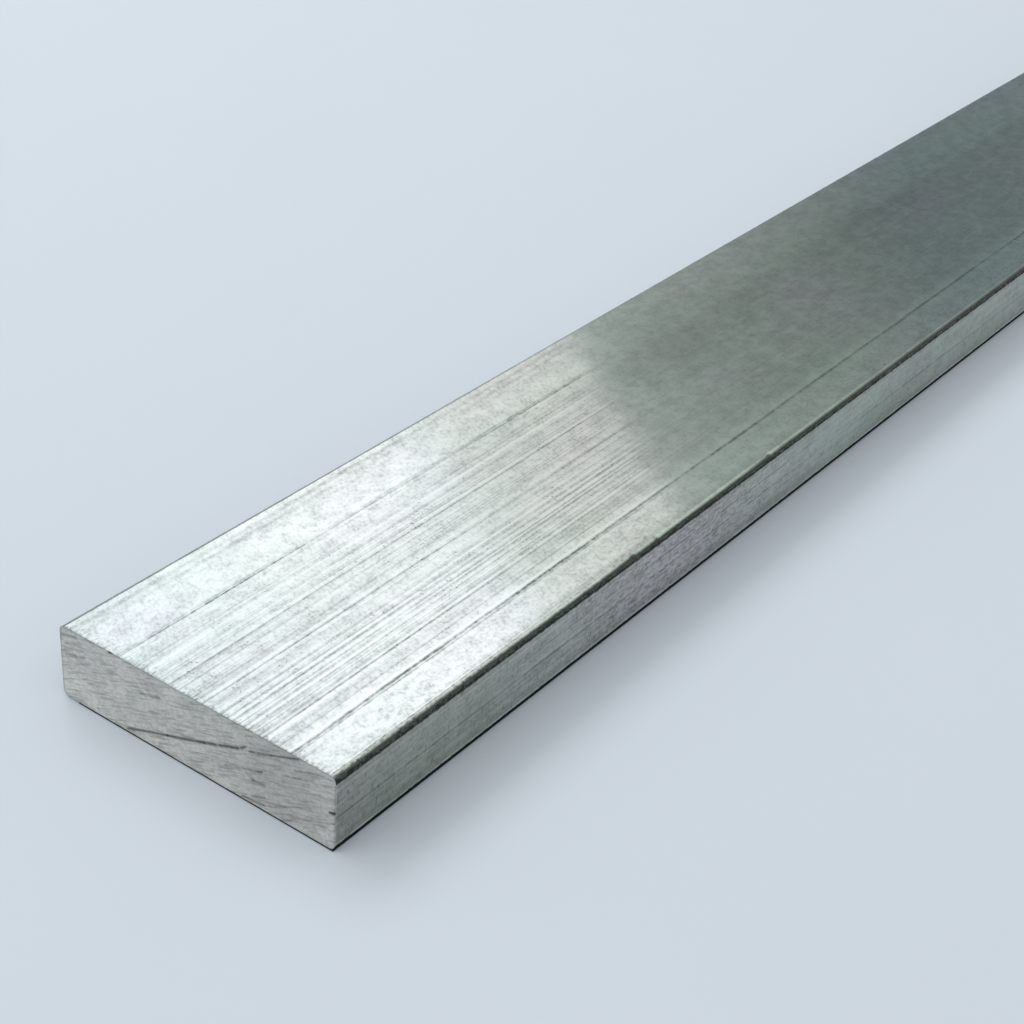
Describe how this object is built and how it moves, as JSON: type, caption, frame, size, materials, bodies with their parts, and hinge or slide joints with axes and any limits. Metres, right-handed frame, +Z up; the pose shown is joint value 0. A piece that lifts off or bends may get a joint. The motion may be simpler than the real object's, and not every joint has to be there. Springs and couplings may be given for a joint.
{
  "type": "metal flat bar",
  "caption": "Straight length of extruded aluminium flat bar with small rounded long corners and square sawn ends, for brackets, frames and machining.",
  "frame": {"origin": "middle of the wide face that the bar lies on", "axes": "+X across the width, +Y along the length, +Z up through the thickness"},
  "size_m": [0.05, 0.5, 0.012],
  "materials": {
    "mill_aluminium": "mill finish as extruded, with fine lines along the length and fine saw marks on the ends"
  },
  "bodies": {
    "root": {"flat_bar": "mill_aluminium"}
  },
  "joints": []
}
